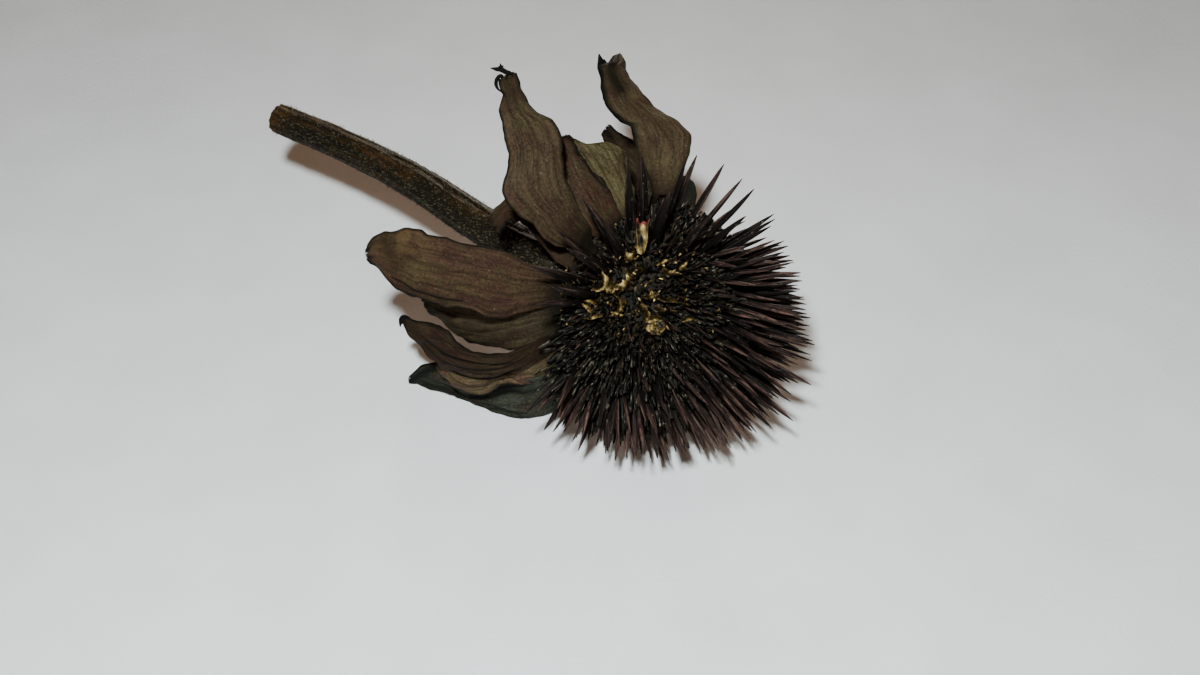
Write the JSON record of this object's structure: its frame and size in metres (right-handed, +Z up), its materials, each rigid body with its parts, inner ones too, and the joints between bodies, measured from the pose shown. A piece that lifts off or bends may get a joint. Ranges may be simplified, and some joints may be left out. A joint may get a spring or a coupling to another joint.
{
  "type": "dried coneflower",
  "caption": "Dried coneflower lying on its side: dark spiny seed head, curled papery petals and a cut stalk.",
  "frame": {"origin": "on the surface the flower lies on, under the middle of its box", "axes": "+X along the flower's axis towards the spiny dome, -X along the stalk, +Z up from the surface"},
  "size_m": [0.089, 0.046, 0.0455],
  "materials": {
    "seed_head": "dry, near black with maroon spine tips",
    "stem": "dry, ribbed, dark green-brown with pale bristles",
    "petal": "papery, matt, veined brown-grey"
  },
  "bodies": {
    "root": {"seed_head": "seed_head", "stem": "stem", "petal_left": "petal", "petal_left_under": "petal", "petal_curled": "petal", "petal_folded": "petal", "petal_low": "petal", "petal_upper": "petal", "petal_reddish": "petal", "petal_greenish": "petal", "petal_tall": "petal", "petal_far": "petal", "petal_right": "petal", "petal_narrow": "petal", "petal_far_low": "petal", "petal_bottom": "petal"}
  },
  "joints": []
}
